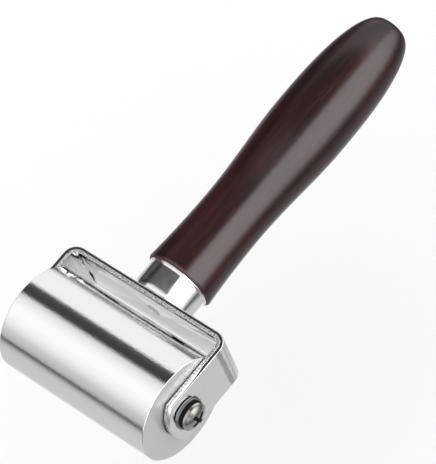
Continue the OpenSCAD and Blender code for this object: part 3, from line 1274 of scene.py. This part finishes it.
@dataclass
class AxleSet:
    """The axle, and the screw, washers and spacer at each of its ends."""

    head_rim: float = 1.0 * MM
    cross_length: float = 5.4 * MM
    cross_width: float = 1.25 * MM
    cross_depth: float = 1.7 * MM
    cross_turn: float = 20.0
    shank: float = 2.5 * MM
    slit: float = 9.0
    pieces: dict[str, list[bpy.types.Object]] = field(default_factory=dict)

    def build(self) -> None:
        """Makes each fastener once and puts a copy on each side."""
        makers = {"axle_screw": self.screw, "lock_washer": self.lock_washer,
                  "flat_washer": self.flat_washer}
        for node, make in makers.items():
            master = make()
            copies = [copy_to(master, f"{node}_{side.word}_made", side) for side in Side]
            bpy.data.objects.remove(master)
            for copy, side in zip(copies, Side):
                stand_in(copy, f"{node}_{side.word}", "frame", 32)
            self.pieces[node] = copies

    def screw(self) -> bpy.types.Object:
        """Turns a pan-head screw for the right side and cuts its cross recess.

        Returns:
            The screw.
        """
        start, top = low_high("axle_screw_right", 0)
        under = low_high("lock_washer_right", 0)[1]
        radius = radius_of("axle_screw_right")
        dome = top - under - self.head_rim
        sphere = (radius ** 2 + dome ** 2) / (2 * dome)
        reach = math.degrees(math.asin(radius / sphere))
        rounding = 0.25 * MM
        crown = arc((top - sphere, 0.0), sphere, reach * 0.93, reach * 0.08, 12)
        outline = [(start, self.shank - 0.5 * MM), (start + 0.5 * MM, self.shank), (under, self.shank),
                   (under, radius - rounding), (under + rounding / 2, radius - rounding / 3),
                   (under + rounding, radius), (under + self.head_rim * 0.8, radius),
                   (under + self.head_rim * 1.15, radius - 0.09 * MM), *crown]
        screw = turn_piece("axle_screw_master", outline, Axis.ALONG_X, 96)
        for quarter in (0, 90):
            cut(screw, self.slot_cutter(top, self.cross_turn + quarter))
        close_up(screw)
        ease_edges(screw, 0.09 * MM, 2, 38)
        return screw

    def slot_cutter(self, top: float, turn: float) -> bpy.types.Object:
        """Makes the cutter of one slot of the recess, narrower at its bottom.

        Args:
            top: X of the head's top.
            turn: The slot's turn about the axle, in degrees.

        Returns:
            The cutter.
        """
        half_length, half_width = self.cross_length / 2, self.cross_width / 2
        cutter = block("slot_cutter", (top - self.cross_depth, -half_length, -half_width),
                       (top + MM, half_length, half_width))
        bpy.ops.object.mode_set(mode="EDIT")
        pick_faces(cutter, lambda middle, normal: normal.x < -0.9)
        bpy.ops.transform.resize(value=(1, 0.45, 0.6), center_override=(top - self.cross_depth, 0, 0))
        bpy.ops.object.mode_set(mode="OBJECT")
        settle(cutter, (math.radians(turn), 0, 0))
        return cutter

    def lock_washer(self) -> bpy.types.Object:
        """Spins a split washer for the right side from its square section, and leaves its slit open.

        Returns:
            The washer.
        """
        low, high = low_high("lock_washer_right", 0)
        bore, radius = self.shank + 0.2 * MM, radius_of("lock_washer_right")
        section = block("lock_washer_master", (low, bore, -0.01 * MM), (high, radius, 0.01 * MM))
        bpy.ops.object.mode_set(mode="EDIT")
        pick_faces(section, lambda middle, normal: normal.z > 0.9)
        bpy.ops.mesh.spin(steps=64, angle=math.radians(360 - self.slit), center=(0, 0, 0), axis=(-1, 0, 0))
        bpy.ops.object.mode_set(mode="OBJECT")
        close_up(section)
        settle(section, (math.radians(self.slit / 2), 0, 0))
        ease_edges(section, 0.12 * MM, 2, 40)
        return section

    def flat_washer(self) -> bpy.types.Object:
        """Turns a flat washer for the right side.

        Returns:
            The washer.
        """
        low, high = low_high("flat_washer_right", 0)
        bore, radius = self.shank + 0.2 * MM, radius_of("flat_washer_right")
        ease = 0.15 * MM
        outline = [(low, bore), (low, radius - ease), (low + ease, radius), (high - ease, radius),
                   (high - ease / 3, radius - ease / 3), (high, radius - ease), (high, bore)]
        return turn_piece("flat_washer_master", outline, Axis.ALONG_X, 96, ring=True)

    def dress(self) -> None:
        """Gives the fasteners their platings, and the axle and spacers ground steel and zinc."""
        for node, finish, slot in (("axle_screw", SCREW_STEEL, "screw_steel"),
                                   ("lock_washer", BLACK_STEEL_AND_SHADE, "black_washer"),
                                   ("flat_washer", ZINC, "zinc_washer")):
            for piece in self.pieces[node]:
                dress(piece, finish)
        for node in ("axle", "bearing_spacer"):
            dress(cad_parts[node], GROUND_STEEL)
        for side in Side:
            dress(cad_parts[f"thrust_spacer_{side.word}"], ZINC)


# ---------------------------------------------------------------- studio


@dataclass
class Studio:
    """Pale floor, soft light from all round with flags that shape the reflections, and the camera."""

    floor_gap: float = 90 * MM
    floor_half: float = 6.0
    camera_place: tuple[float, float, float] = (0.438, -0.192, 0.744)
    camera_aim: tuple[float, float, float] = (-0.0005, 0.0541, 0.0)
    camera_roll: float = -24.9
    lens: float = 223.4
    soft_level: float = 1.04
    gap_level: float = 0.45
    flag_share: float = 0.25
    box_level: float = 2.2
    left_bands: tuple[tuple[float, float], ...] = (
        (-90, 0.80), (-70, 0.90), (-58, 0.56), (-47, 0.45), (-40, 0.14), (-13, 0.14), (-6, 0.65), (2, 0.93),
        (30, 0.95),
        (51, 0.93), (55, 0.10), (66, 0.055), (75, 0.05), (80, 0.09), (84, 0.70), (95, 0.90), (110, 1.05),
        (125, 1.05), (140, 0.97), (152, 0.82), (162, 0.64), (172, 0.54), (181, 0.48), (183.5, 0.10),
        (188, 0.10), (192, 0.36), (199, 0.55), (210, 0.61), (250, 0.61), (262, 0.68), (270, 0.78),
    )
    right_bands: tuple[tuple[float, float], ...] = (
        (-90, 0.62), (-50, 0.62), (-38, 0.5), (-31, 0.1), (-24, 0.1), (-16, 0.4), (-8, 0.8), (-5, 1.0),
        (58, 1.0), (66, 0.1), (90, 0.1),
    )

    def bands(self, wiring: Wiring, part: Signal, levels: Sequence[tuple[float, float]], low: float,
              high: float) -> Signal:
        """Adds grey bands over an angle.

        Args:
            wiring: The world's wiring.
            part: The angle, as a part of its range.
            levels: Angles in degrees and brightnesses.
            low: The range's first angle.
            high: The range's last angle.

        Returns:
            The brightness as a colour.
        """
        stops = [((angle - low) / (high - low), (level, level, level)) for angle, level in levels]
        return wiring.ramp(part, stops)

    def sector(self, azimuth: Signal, *edges: float) -> Signal:
        """A soft-edged sector of azimuth.

        Args:
            azimuth: The azimuth.
            *edges: Where it starts to rise, is full, starts to fall and is gone, in degrees.

        Returns:
            The sector's mask.
        """
        rise, full, fall, gone = (math.radians(edge) for edge in edges)
        return azimuth.span(rise, full) * azimuth.span(fall, gone, 1.0, 0.0)

    def left_light(self, wiring: Wiring, x: Signal, y: Signal, z: Signal) -> Signal:
        """What mirrors see square to the roller and to its left: bands round the roller's axis.

        Args:
            wiring: The world's wiring.
            x: The direction's X.
            y: The direction's Y.
            z: The direction's Z.

        Returns:
            The light's colour.
        """
        turn = wiring.math("ARCTAN2", z, y) / (2 * math.pi) + 1.25
        bands = self.bands(wiring, wiring.math("FRACT", turn), self.left_bands, -90, 270)
        far = x.span(-0.86, -0.70, 0.1, 1.0).most(z.span(-0.3, -0.1, 1.0, 0.0))
        return wiring.mix(1.0, bands, far, "MULTIPLY")

    def right_light(self, wiring: Wiring, x: Signal, y: Signal, z: Signal) -> Signal:
        """What mirrors see to the roller's right: bands of height, a flag below and a gap at the side.

        Args:
            wiring: The world's wiring.
            x: The direction's X.
            y: The direction's Y.
            z: The direction's Z.

        Returns:
            The light's colour.
        """
        height = wiring.math("ARCSINE", z) / math.pi + 0.5
        bands = self.bands(wiring, height, self.right_bands, -90, 90)
        boxes = wiring.mix(1.0, bands, z.span(-0.2, -0.02, 1.0, self.box_level), "MULTIPLY")
        azimuth = wiring.math("ARCTAN2", y, x)
        flag = self.sector(azimuth, 44, 54, 60, 74) * z.span(-0.6, -0.5, 1.0, 0.0) * self.flag_share
        flagged = wiring.mix(flag, boxes, (0.05, 0.05, 0.05, 1))
        gap = self.sector(azimuth, -24, -12, 3, 9) * abs(z).span(0.16, 0.30, 1.0, 0.0)
        return wiring.mix(gap, flagged, (self.gap_level, self.gap_level, self.gap_level, 1))

    def build_light(self) -> None:
        """Builds the world: even light for soft surfaces, and boxes and flags for what mirrors see."""
        world = bpy.data.worlds.new("studio")
        bpy.context.scene.world = world
        world.use_nodes = True
        world.cycles.sampling_method = "NONE"
        wiring = Wiring(world.node_tree)
        x, y, z = wiring.split(wiring.node("TexCoord", {}, "Generated"))
        to_right = (x - (z.most(0.0) * 0.48 + 0.1)).span(-0.04, 0.04)
        mirrored = wiring.mix(to_right, self.left_light(wiring, x, y, z), self.right_light(wiring, x, y, z))
        glossy = wiring.node("LightPath", {}, "Is Glossy Ray")
        color = wiring.mix(glossy, (self.soft_level, self.soft_level, self.soft_level, 1), mirrored)
        wiring.add("OutputWorld", {"Surface": wiring.node("Background", {"Color": color})})

    def build_floor(self) -> None:
        """Lays a wide pale sweep under the tool."""
        clear_desk()
        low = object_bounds()[0][2] - self.floor_gap
        bpy.ops.mesh.primitive_plane_add(size=2 * self.floor_half, location=(0, 0, low))
        floor = named("studio_floor")
        settle(floor)
        paper = bpy.data.materials.new("pale_paper")
        paper.use_nodes = True
        surface = Surface(paper.node_tree)
        tooth = surface.noise(surface.where, 900.0, 2.0).span(0.3, 0.7, 0.975, 0.985)
        color = surface.node("CombineColor", {0: tooth, 1: tooth, 2: tooth})
        surface.give(Base_Color=color, Roughness=0.9, Specular_IOR_Level=0.0)
        floor.data.materials.append(paper)
        floor.visible_glossy = False
        floor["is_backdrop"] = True

    def build_camera(self) -> None:
        """Places the camera above the roller's end, looking along the handle."""
        clear_desk()
        bpy.ops.object.camera_add(location=self.camera_place)
        camera = bpy.context.object
        camera.name = "studio_camera"
        sight = Vector(self.camera_aim) - Vector(self.camera_place)
        level = sight.to_track_quat("-Z", "Y").to_matrix().to_4x4()
        roll = Matrix.Rotation(math.radians(self.camera_roll), 4, "Z")
        camera.matrix_world = Matrix.Translation(self.camera_place) @ level @ roll
        camera.data.lens = self.lens
        camera.data.sensor_width = 36.0
        bpy.context.scene.camera = camera

    def build(self) -> None:
        """Builds light, floor and camera."""
        self.build_light()
        self.build_floor()
        self.build_camera()
        bpy.context.scene.view_settings.view_transform = "Standard"


def main() -> None:
    """Builds the finishes, each sub-assembly and the studio, in order."""
    logging.basicConfig(level=logging.INFO, format="%(name)s: %(message)s")
    build_finishes()
    LOG.info("%d finishes", len(FINISHES))
    for unit in (RollerUnit(), Yoke(), Neck(), Handle(), AxleSet()):
        unit.build()
        unit.dress()
        made = unit.pieces if isinstance(unit.pieces, list) else sum(unit.pieces.values(), [])
        for piece in made:
            LOG.info("%s: %s, %d faces", type(unit).__name__, piece.name, len(piece.data.polygons))
    Studio().build()


if __name__ == "__main__":
    main()
